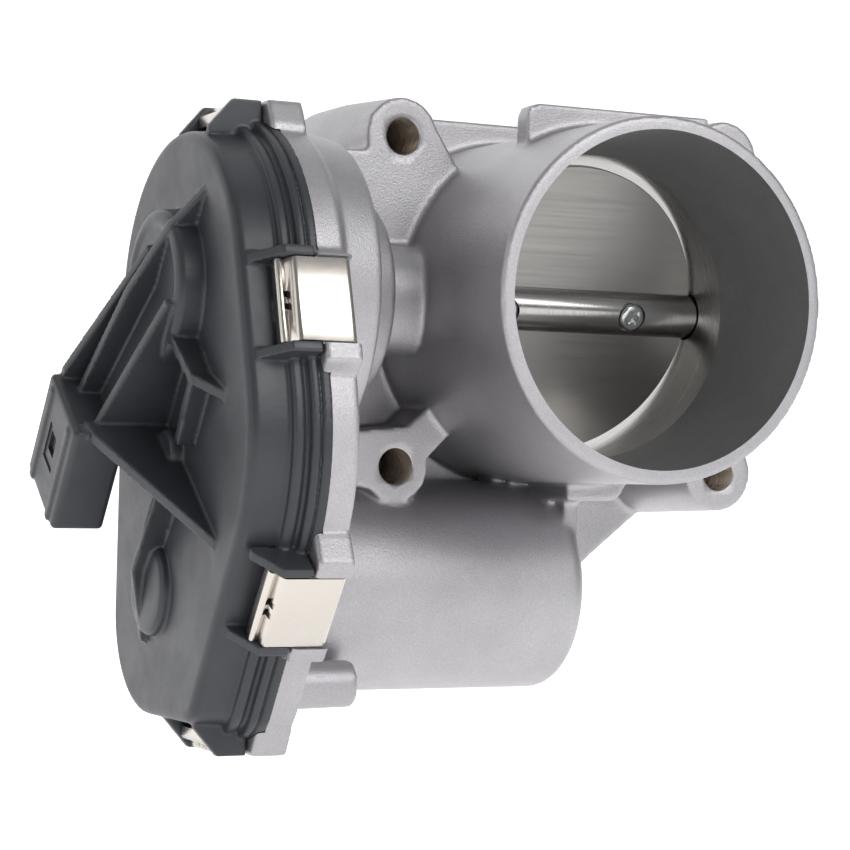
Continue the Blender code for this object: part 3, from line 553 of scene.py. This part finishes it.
def webs():
    """Webs between the bolt bosses, the gear housing and the tube, as outlines (x, z) and a front y."""
    upper = [
        (-54.0, 8.0),
        (-22.0, 8.0),
        (-18.0, 22.0),
        (-23.0, 27.0),
        (-29.4, 37.0),
        (-35.4, 40.0),
        (-42.6, 36.5),
        (-43.0, 29.5),
        (-54.0, 29.0),
    ]
    lower = [
        (-58.6, -26.0),
        (-42.6, -25.5),
        (-33.0, -24.4),
        (-27.4, -19.6),
        (-25.6, -19.2),
        (-22.0, -24.4),
        (-28.2, -30.6),
        (-29.0, -32.0),
        (-29.0, -36.0),
        (-31.0, -38.2),
        (-43.0, -36.8),
        (-58.6, -36.8),
    ]
    deep = [(-58.0, -30.0), (-58.0, -6.0), (-20.0, -6.0), (-20.0, -26.0), (-28.0, -30.0)]
    under = [(-34.0, -40.0), (2.0, -40.0), (2.0, -28.0), (-34.0, -28.0)]
    motor = [(0.8, -50.0), (4.2, -50.0), (4.2, -28.0), (0.8, -28.0)]
    ridge = [
        (-1.0, -38.6),
        (9.6, -38.6),
        (11.4, -37.4),
        (12.4, -35.4),
        (14.6, -34.0),
        (14.6, -28.0),
        (-1.0, -28.0),
    ]
    pad = [(-17.2, 20.0), (24.0, 20.0), (24.0, 38.8), (-14.6, 38.8), (-16.6, 38.0), (-17.4, 36.0)]
    back = FLANGE_FRONT_Y + 1
    return [
        prism("upper_web", upper, GEAR_SIDE_LUG_Y, back, "Y"),
        prism("lower_web", lower, GEAR_SIDE_LUG_Y, back, "Y"),
        prism("deep_web", deep, GEAR_SIDE_LUG_Y + 12.0, back, "Y"),
        prism("top_pad", pad, -57.2, -52.4, "Y"),
        prism("under_web", under, -20.0, back, "Y"),
        prism("motor_web", motor, -42.5, back, "Y"),
        prism("tube_rib", ridge, -47.0, back, "Y"),
    ]


def gear_housing():
    """Shaft bosses, thin rim, round drum and dome behind it, motor casing, and the clips' lugs."""
    rim = [(RIM_X - 1.5, 2.7), (RIM_BACK_X - 0.6, 2.6), (RIM_BACK_X, 2.0)]
    drum = fillet_profile(RIM_BACK_X - 1, DRUM_BACK_X, DRUM_R + 1.4, 1.2, end_radius=DRUM_R)
    dome = fillet_profile(DRUM_BACK_X - 1, DOME_BACK_X, DOME_ROOT_R, 1.6, end_radius=DOME_END_R)
    wheel_shell = [(RIM_BACK_X - 1, 26.8), (-58.6, 26.6), (-57.6, 25.6)]
    motor = fillet_profile(RIM_BACK_X - 0.5, MOTOR_END_X, MOTOR_R, 3.6)
    far_boss = [(28.0, SHAFT_BOSS_R), (46.0, SHAFT_BOSS_R - 0.2)]
    shapes = [
        turned("boss", [(-46.0, SHAFT_BOSS_R), (-28.0, SHAFT_BOSS_R)], "X", SHAFT_LINE, 72),
        turned("far_boss", far_boss, "X", SHAFT_LINE, 72),
        hull_loft("rim", rim),
        turned("drum", drum, "X", SHAFT_LINE, 144),
        turned("dome", dome, "X", SHAFT_LINE, 120),
        turned("wheel_shell", wheel_shell, "X", PIN_CENTRE, 96),
        turned("motor", motor, "X", MOTOR_LINE, 128),
        turned("pin_boss", [(RIM_BACK_X, 4.8), (-48.0, 4.6)], "X", PIN_CENTRE, 40),
        turned("locating_boss", [(RIM_BACK_X - 1, 4.8), (-47.2, 4.5)], "X", (-45.5, -74.4), 40),
    ]
    for name, direction, point, width in CLIPS:
        low = -8.5 if name == "near_upper" else -width / 2 - 3.6
        shapes.append(clip_lug(clip_seat(direction, point), low, width / 2 + 3.6))
    return shapes


def casting_cuts():
    """Every machined face, bore and room, with its finish, in the order in which they are cut."""
    rear = [(-80, -80), (80, -80), (80, 80), (-80, 80)]
    yield prism("rear_face", rear, 0.0, 20.0, "Y"), 2
    yield hull_loft("rim_face", [(RIM_X - 10.0, 3.15), (RIM_X, 3.15)]), 2
    inlet = [(INLET_Y - 8.0, INLET_INNER_R), (INLET_Y + 1.0, INLET_INNER_R)]
    inlet += [(-60.0, 31.3), (-54.0, 30.1), (-50.0, 29.6)]
    # The inlet's inner wall takes finish 1, the darker copy of the cast finish: painted shade inside the
    # tube.
    yield turned("inlet", inlet, "Y", sides=192), 1
    band = [(-55.0, BORE_R), (-25.0, BORE_R), (-22.0, BORE_R + 0.5), (8.0, BORE_R + 0.5)]
    yield turned("bore", band, "Y", sides=192), 2
    yield hull_loft("chamber", [(RIM_X - 5.0, -1.2), (RIM_FLOOR_X, -1.3)]), 0
    rooms = (
        ("drum_room", RIM_FLOOR_X - 1, FLOOR_X + 1, DRUM_ROOM_R, SHAFT_LINE, 96, 0),
        ("wheel_room", RIM_FLOOR_X - 1, WHEEL_ROOM_X, WHEEL_ROOM_R, PIN_CENTRE, 96, 0),
        ("plate_room", RIM_FLOOR_X - 1, FLOOR_X, MOTOR_ROOM_R + 0.4, MOTOR_LINE, 96, 0),
        ("spring_room", FLOOR_X - 2, -47.5, 16.0, SHAFT_LINE, 64, 0),
        ("near_pocket", -49.0, -35.3, SHAFT_POCKET_R, SHAFT_LINE, 48, 2),
        ("far_pocket", 36.0, 50.0, SHAFT_POCKET_R, SHAFT_LINE, 48, 2),
        ("shaft_hole", -40.0, 40.0, 5.0, SHAFT_LINE, 48, 2),
        ("motor_room", FLOOR_X - 2, 1.8, MOTOR_ROOM_R, MOTOR_LINE, 96, 0),
    )
    for name, start, end, radius, line, sides, finish in rooms:
        yield turned(name, [(start, radius), (end, radius)], "X", line, sides), finish
    recess = [
        (RIM_X - 5.0, CLIP_SEAT),
        (CLIP_SEAT_X, CLIP_SEAT),
        (CLIP_SEAT_X, 2.9),
        (-58.0, 2.9),
        (-58.0, 12.0),
        (RIM_X - 5.0, 12.0),
    ]
    for name, direction, point, width in CLIPS:
        yield at_clip("clip_recess", clip_seat(direction, point), recess, 0.0, width + 0.9), 0
    for x, z in CORNERS:
        face = GEAR_SIDE_LUG_Y if x < 0 else FAR_SIDE_LUG_Y
        mouth = [(face - 6.0, 4.0), (face - 0.1, 3.9), (face + 0.3, BOLT_HOLE_R), (4.0, BOLT_HOLE_R)]
        yield turned("bolt_hole", mouth, "Y", (x, z), 64), 3


def make_casting():
    skin = cast_skin("casting_skin", tube_and_flange() + webs() + gear_housing(), 0.55, 6)
    thin_out(skin, 150000)
    for tool, finish in casting_cuts():
        boolean(skin, tool, "DIFFERENCE", finish)
    finish_piece(skin, "casting_skin", "housing", ["throttle_casting"], sharp=48.0)


# ---------------------------------------------------------------------------------------------
# Cover
# ---------------------------------------------------------------------------------------------


def plug_block(name, across, length, x_range):
    """Block of the connector: its ranges across the connector, along it, and in x."""
    near, far = across
    start, end = length
    outline = [(near, start), (far, start), (far, end), (near, end)]
    middle = (x_range[0] + x_range[1]) / 2
    half = abs(x_range[1] - x_range[0]) / 2
    origin = PLUG_CORNER + Vector((middle, 0.0, 0.0))
    return framed_prism(name, outline, half, origin, PLUG_ACROSS, PLUG_DIRECTION)


def fin(name, across, profile, thickness):
    """Wall parallel to the connector's direction: profile is (distance back from the connector, x)."""
    origin = PLUG_CORNER + PLUG_ACROSS * across
    return framed_prism(name, profile, thickness / 2, origin, -PLUG_DIRECTION, X_AXIS)


def standing_wall(name, points, thickness, base=-80.5):
    """Wall standing on the cover's face along (y, z, top x) points."""
    made = []
    for first, second in zip(points, points[1:]):
        start = Vector((0.0, first[0], first[1]))
        run = Vector((0.0, second[0] - first[0], second[1] - first[1]))
        outline = [(0.0, base), (run.length, base), (run.length, second[2]), (0.0, first[2])]
        made.append(framed_prism(name, outline, thickness / 2, start, run.normalized(), X_AXIS))
    return made


def cover_dome():
    """Domed shell, beaded lip, and the round bosses that stand on the face."""
    face = COVER_FACE_X
    dome = [(face, -1.9), (face + 0.2, -1.1), (face + 0.7, -0.4), (face + 1.6, 0.0), (-73.0, 0.5)]
    lip = [
        (-74.4, -1.0),
        (-74.4, 1.3),
        (-74.0, 1.9),
        (-72.6, 1.9),
        (-72.2, 1.4),
        (-71.4, 1.4),
        (-71.2, 2.9),
        (-69.9, 3.1),
        (-69.8, 2.4),
        (-69.2, 2.4),
        (-69.1, 3.0),
        (COVER_REAR_X, 3.0),
        (COVER_REAR_X, -1.0),
    ]
    disc = [
        (face + 1.5, DISC_R + 0.6),
        (face, DISC_R + 0.2),
        (-86.0, DISC_R - 0.1),
        (-86.9, DISC_R - 0.6),
        (DISC_FACE_X, DISC_R - 1.7),
        (DISC_FACE_X, DISC_R - 2.6),
        (DISC_FACE_X + 0.5, DISC_R - 3.6),
    ]
    bump = [(face + 1.5, 5.0), (-84.0, 4.7), (-84.6, 4.2)]
    lower_boss = [(face + 1.5, 9.3), (-83.2, 9.1), (-83.9, 8.3), (-84.1, 7.0)]
    return [
        hull_loft("dome", dome),
        hull_loft("lip", lip),
        turned("disc", disc, "X", SHAFT_LINE, 96),
        turned("pin_bump", bump, "X", (-41.0, -31.0), 48),
        turned("lower_boss", lower_boss, "X", LOWER_BOSS_CENTRE, 72),
    ]


def cover_tabs():
    """A pair of tabs beside each clip."""
    shapes = []
    profile = [(-79.9, -1.0), (-79.9, 0.3), (-75.2, LUG_GROW), (-69.5, LUG_GROW), (-69.5, -1.0)]
    for name, direction, point, width in CLIPS:
        seat = clip_seat(direction, point)
        for side in (-1, 1):
            shapes.append(at_clip("tab", seat, profile, side * (width / 2 + 1.2), TAB_THICK))
    return shapes


def connector_and_walls():
    """The connector, the walls and gusset that carry it, and the ribs on the face."""
    front = PLUG_X[0]
    plug = plug_block("plug_body", (0.0, PLUG_WIDTH), (0.0, PLUG_LENGTH), PLUG_X)
    bevel(plug, 0.9, 30.0, 3)
    shapes = [plug]
    for across in ((2.6, 4.4), (PLUG_WIDTH - 4.4, PLUG_WIDTH - 2.6)):
        shapes.append(plug_block("plug_rib", across, (1.5, PLUG_LENGTH - 0.3), (front - 0.5, front + 2)))
    inside = COVER_FACE_X + 1.2
    far_wall = [(-1.0, -98.6), (1.5, -98.6), (30.0, -88.2), (30.5, inside), (-1.0, inside)]
    near_wall = [
        (-1.0, -96.6),
        (5.3, -95.4),
        (23.2, -92.0),
        (37.9, -87.2),
        (46.6, -82.0),
        (46.6, inside),
        (-1.0, inside),
    ]
    third_wall = [(-1.0, -96.4), (0.8, -96.0), (28.6, -88.6), (29.2, inside), (-1.0, inside)]
    panel = [(-1.0, -92.4), (28.0, -86.2), (28.0, inside), (-1.0, inside)]
    gusset = [
        (PLUG_WIDTH - 3, -98.4),
        (PLUG_WIDTH + 1.0, -97.6),
        (52.5, -82.3),
        (52.5, inside),
        (PLUG_WIDTH - 3, inside),
    ]
    shapes.append(fin("far_wall", 1.0, far_wall, 2.0))
    shapes.append(fin("near_wall", 5.5, near_wall, 2.0))
    shapes.append(fin("third_wall", 17.0, third_wall, 2.0))
    shapes.append(fin("panel", 9.5, panel, 16.0))
    shapes.append(framed_prism("gusset", gusset, 1.1, PLUG_CORNER, PLUG_ACROSS, X_AXIS))
    ribs = (
        (((-49.0, -8.4, -87.3), (-58.8, -17.2, -86.2), (-66.4, -20.6, -82.0)), 2.0),
        (((-58.8, -17.0, -86.0), (-50.6, -28.8, -85.6)), 2.2),
        (((-43.7, -38.7, -87.0), (-30.5, -53.4, -86.6), (-26.3, -67.1, -83.0)), 1.6),
    )
    for points, thickness in ribs:
        shapes += standing_wall("rib", points, thickness)
    return shapes


def make_cover():
    front, back = PLUG_X
    skin = cast_skin("cover_skin", cover_dome() + cover_tabs() + connector_and_walls(), 0.32, 1)
    thin_out(skin, 170000)
    room_r = DISC_R - 4
    socket_across = (1.6, PLUG_WIDTH - 1.6)
    tools = (
        hull_loft("cavity", [(COVER_FACE_X + 2.5, -2.5), (COVER_REAR_X + 4, -2.5)]),
        turned("sensor_room", [(DISC_FACE_X + 2.5, room_r), (-78.0, room_r)], "X", SHAFT_LINE, 64),
        plug_block("socket", socket_across, (9.0, PLUG_LENGTH + 5), (front + 1.6, back - 1.6)),
        plug_block("recess", (6.4, 12.6), (7.0, 15.0), (front - 3, front + 0.3)),
        plug_block("window", (7.4, 11.0), (8.4, 12.6), (front - 3, front + 1.0)),
    )
    for tool in tools:
        boolean(skin, tool, "DIFFERENCE")
    finish_piece(skin, "cover_skin", "housing", ["gear_cover"], PLASTIC)


# ---------------------------------------------------------------------------------------------
# Clips
# ---------------------------------------------------------------------------------------------


def strip_profile(path, thickness):
    """Outline of a bent strip: the path's points pushed to either side by half the thickness."""
    sides = ([], [])
    for index, point in enumerate(path):
        before = Vector(path[max(index - 1, 0)])
        after = Vector(path[min(index + 1, len(path) - 1)])
        way = (after - before).normalized()
        normal = Vector((-way.y, way.x))
        for side, sign in zip(sides, (1, -1)):
            moved = Vector(point) + normal * sign * thickness / 2
            side.append((moved.x, moved.y))
    return sides[0] + sides[1][::-1]


def arc(centre, radius, start, end, steps=6):
    made = []
    for k in range(steps + 1):
        angle = math.radians(start + (end - start) * k / steps)
        made.append((centre[0] + radius * math.cos(angle), centre[1] + radius * math.sin(angle)))
    return made


def make_clips():
    """Sheet-metal clips: a flat face, a step down to a lip over the cover, and a hook behind the lug."""
    top = CLIP_FACE - CLIP_SHEET / 2
    for name, direction, point, width in CLIPS:
        seat = clip_seat(direction, point)
        valley = -74.8 if name in ("near_upper", "top") else -75.3
        rise = 1.6 if name in ("near_upper", "top") else 0.9
        path = [(valley - 1.4, 1.4), (valley - 1.4, 3.0)] + arc((valley - 0.9, 3.1), 0.5, 180, 90, 4)
        path += [(valley - 0.3, 3.4), (valley + 0.2, 3.3)]
        path += arc((valley + 0.3 + rise, top - 0.9), 0.9, 150, 90, 6)
        path += arc((-63.6, top - 0.9), 0.9, 90, 5, 6) + [(-62.7, LIP_GROW + 0.2)]
        clip = at_clip("clip", seat, strip_profile(path, CLIP_SHEET), 0.0, width)
        for side in (-1, 1):
            start, end = valley - 0.75, valley + 0.35
            opening = [(start, 1.0), (start, 6.0), (end, 6.0), (end, 1.0)]
            boolean(clip, at_clip("slot", seat, opening, side * 1.15, 1.2), "DIFFERENCE")
        bevel(clip, 0.12, 40.0, 2)
        finish_piece(clip, "clip_skin_" + name, "housing", ["cover_clip_" + name], CLIP_METAL)


# ---------------------------------------------------------------------------------------------
# Throttle plate, shaft and screws
# ---------------------------------------------------------------------------------------------
PLATE_UP = Vector((0.0, -math.sin(REST_TILT), math.cos(REST_TILT)))
PLATE_SIDE = Vector((1.0, 0.0, 0.0))
PLATE_FRONT = PLATE_SIDE.cross(PLATE_UP)
PLATE_TURN = Matrix([[a[row] for a in (PLATE_SIDE, PLATE_UP, PLATE_FRONT)] for row in range(3)]).to_4x4()


def onto_plate(obj, x=0.0, lift=0.0):
    """Moves a shape made about the Z axis so that Z stands on the plate at x."""
    place = Matrix.Translation((x, SHAFT_Y, 0.0)) @ PLATE_TURN @ Matrix.Translation((0.0, 0.0, lift))
    obj.data.transform(place)
    return obj


def make_throttle():
    half = PLATE_THICK / 2
    edge = 0.15
    disc = [
        (-half, PLATE_R - edge),
        (-half + edge, PLATE_R),
        (half - edge, PLATE_R),
        (half, PLATE_R - edge),
    ]
    plate = turned("plate", disc, "Z", sides=256)
    onto_plate(plate)
    for x in PLATE_SCREW_X:
        boolean(plate, onto_plate(turned("hole", [(-4, 2.05), (4, 2.05)], "Z", sides=32), x), "DIFFERENCE")
    finish_piece(plate, "plate_skin", "throttle", ["throttle_plate"], BRUSHED)

    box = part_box("throttle_shaft")
    start, end = box[0].x * 1000, box[1].x * 1000
    chamfer = 0.4
    bar = [
        (start, SHAFT_R - chamfer),
        (start + chamfer, SHAFT_R),
        (end - chamfer, SHAFT_R),
        (end, SHAFT_R - chamfer),
    ]
    shaft = turned("shaft", bar, "X", SHAFT_LINE, 128)
    opening = [(-30.3, -6.0), (30.3, -6.0), (30.3, 6.0), (-30.3, 6.0)]
    slot = prism("slot", opening, -half - 0.3, half + 0.3, "Z")
    boolean(shaft, onto_plate(slot), "DIFFERENCE")
    for x in PLATE_SCREW_X:
        boolean(shaft, onto_plate(turned("way", [(-6, 2.05), (6, 2.05)], "Z", sides=32), x), "DIFFERENCE")
        boolean(shaft, onto_plate(turned("seat", [(3.2, 3.1), (7, 3.1)], "Z", sides=48), x), "DIFFERENCE")
    bevel(shaft, 0.08, 40.0, 1)
    finish_piece(shaft, "shaft_skin", "throttle", ["throttle_shaft"], SHAFT_METAL)

    for side, x in zip(("gear_side", "far_side"), PLATE_SCREW_X):
        profile = [(-3.8, 1.4), (-3.4, 1.7), (3.5, 1.7), (3.5, 2.6), (3.7, 2.75), (4.6, 2.75), (5.0, 2.3)]
        screw = turned("screw", profile, "Z", sides=48)
        star = []
        for k in range(24):
            angle = 2 * math.pi * k / 24
            radius = 1.25 + 0.25 * math.cos(6 * angle)
            star.append((radius * math.cos(angle), radius * math.sin(angle)))
        boolean(screw, prism("drive", star, 3.9, 6.0, "Z"), "DIFFERENCE")
        bevel(screw, 0.07, 40.0, 1)
        onto_plate(screw, x)
        nodes = ["plate_screw_" + side]
        finish_piece(screw, "screw_skin_" + side, "throttle", nodes, SCREW_METAL)


# ---------------------------------------------------------------------------------------------
# CAD nodes that stay as they are get a patterned material of their own
# ---------------------------------------------------------------------------------------------


def dress_inner_nodes():
    looks = {
        "seal_rubber": plain("seal_rubber_look", (0.02, 0.02, 0.022), 0.7, 0.0),
        "gear_plastic": plain("gear_plastic_look", (0.72, 0.70, 0.62), 0.45, 0.0),
        "magnet": plain("magnet_look", (0.08, 0.08, 0.09), 0.6, 0.2),
        "copper": plain("copper_look", (0.70, 0.36, 0.20), 0.35, 1.0),
        "circuit_board": plain("circuit_board_look", (0.02, 0.18, 0.09), 0.45, 0.0),
        "tinned_terminal": plain("tinned_look", (0.78, 0.74, 0.62), 0.25, 1.0),
        "machined_steel": plain("steel_look", (0.45, 0.44, 0.43), 0.25, 1.0),
        "clip_steel": plain("plated_steel_look", (0.72, 0.70, 0.67), 0.25, 1.0),
        "cast_aluminium": CAST,
        "black_plastic": PLASTIC,
        "brushed_plate": BRUSHED,
    }
    slots = {row["node"]: row["material_slot"] for row in frame["record"]["subparts"]}
    for name, node in frame["nodes"].items():
        node.data.materials.clear()
        node.data.materials.append(looks[slots[name]])


# ---------------------------------------------------------------------------------------------
# Studio
# ---------------------------------------------------------------------------------------------


def area_light(name, place, target, size, power, color=(1.0, 1.0, 1.0)):
    lamp = bpy.data.lights.new(name, "AREA")
    lamp.shape = "RECTANGLE"
    lamp.size, lamp.size_y = size
    lamp.energy = power
    lamp.color = color
    obj = bpy.data.objects.new(name, lamp)
    bpy.context.scene.collection.objects.link(obj)
    obj.location = place
    obj.rotation_euler = (Vector(target) - Vector(place)).to_track_quat("-Z", "Y").to_euler()
    return obj


def make_studio():
    world = bpy.data.worlds.new("studio")
    bpy.context.scene.world = world
    world.use_nodes = True
    background = world.node_tree.nodes["Background"]
    background.inputs["Color"].default_value = (1.0, 1.0, 1.0, 1.0)
    background.inputs["Strength"].default_value = 0.21

    floor_z = cad_box[0].z - 0.0035
    rows = 24
    reach, bend, wall = 1.4, 0.9, 2.4
    profile = [(-6.0, 0.0), (reach - bend, 0.0)]
    for t in range(1, rows + 1):
        angle = t * math.pi / 2 / rows
        profile.append((reach - bend + bend * math.sin(angle), bend - bend * math.cos(angle)))
    profile += [(reach, wall)]

    def sweep(mesh):
        lines = [[mesh.verts.new((side * 6.0, y, z + floor_z)) for side in (-1, 1)] for y, z in profile]
        for low, high in zip(lines, lines[1:]):
            mesh.faces.new((low[0], low[1], high[1], high[0]))

    floor = new_object("studio_floor", sweep)
    paper = Nodes("pale_paper")
    tone = paper.noise(6.0, 2.0)
    pale = paper.ramp(tone, ((0.0, (0.90, 0.90, 0.90)), (1.0, (0.94, 0.94, 0.94))))
    paper.shader.inputs["Emission Color"].default_value = (1.0, 1.0, 1.0, 1.0)
    floor.data.materials.append(paper.finish(pale, 0.8, 0.0, Emission_Strength=0.70))
    floor.data.shade_smooth()

    centre = (0.0, -0.04, -0.02)
    area_light("key", (0.28, -0.88, 0.50), centre, (0.7, 0.5), 5.0)
    area_light("side", (-0.95, -0.25, 0.30), centre, (0.5, 0.8), 1.1)
    area_light("top", (0.0, 0.1, 0.95), centre, (0.9, 0.7), 1.2)


# Camera: azimuth and elevation of its back direction and its roll in degrees, distance and shift in
# millimetres, and the lens's focal length.
CAMERA_AZIMUTH = -25.62
CAMERA_ELEVATION = -0.66
CAMERA_ROLL = 1.32
CAMERA_DISTANCE = 507.1
CAMERA_SHIFT = (27.23, 23.45)
CAMERA_LENS = 105.88


def make_camera():
    azimuth, elevation = math.radians(CAMERA_AZIMUTH), math.radians(CAMERA_ELEVATION)
    roll = math.radians(CAMERA_ROLL)
    flat = math.cos(elevation)
    back = Vector((math.sin(azimuth) * flat, -math.cos(azimuth) * flat, math.sin(elevation)))
    level = Vector((math.cos(azimuth), math.sin(azimuth), 0.0))
    upright = back.cross(level)
    right = level * math.cos(roll) + upright * math.sin(roll)
    up = upright * math.cos(roll) - level * math.sin(roll)
    target = Vector((0.0, SHAFT_Y, 0.0)) - right * CAMERA_SHIFT[0] - up * CAMERA_SHIFT[1]
    place = target + back * CAMERA_DISTANCE
    lens = bpy.data.cameras.new("camera")
    lens.sensor_width = 36.0
    lens.lens = CAMERA_LENS
    lens.clip_start = 0.01
    lens.clip_end = 50.0
    camera = bpy.data.objects.new("camera", lens)
    bpy.context.scene.collection.objects.link(camera)
    turn = Matrix([[a[row] for a in (right, up, back)] for row in range(3)]).to_4x4()
    camera.matrix_world = Matrix.Translation(place * 0.001) @ turn
    bpy.context.scene.camera = camera


dress_inner_nodes()
make_casting()
make_cover()
make_clips()
make_throttle()
make_studio()
make_camera()
bpy.context.scene.view_settings.view_transform = "Standard"
bpy.context.scene.view_settings.look = "None"
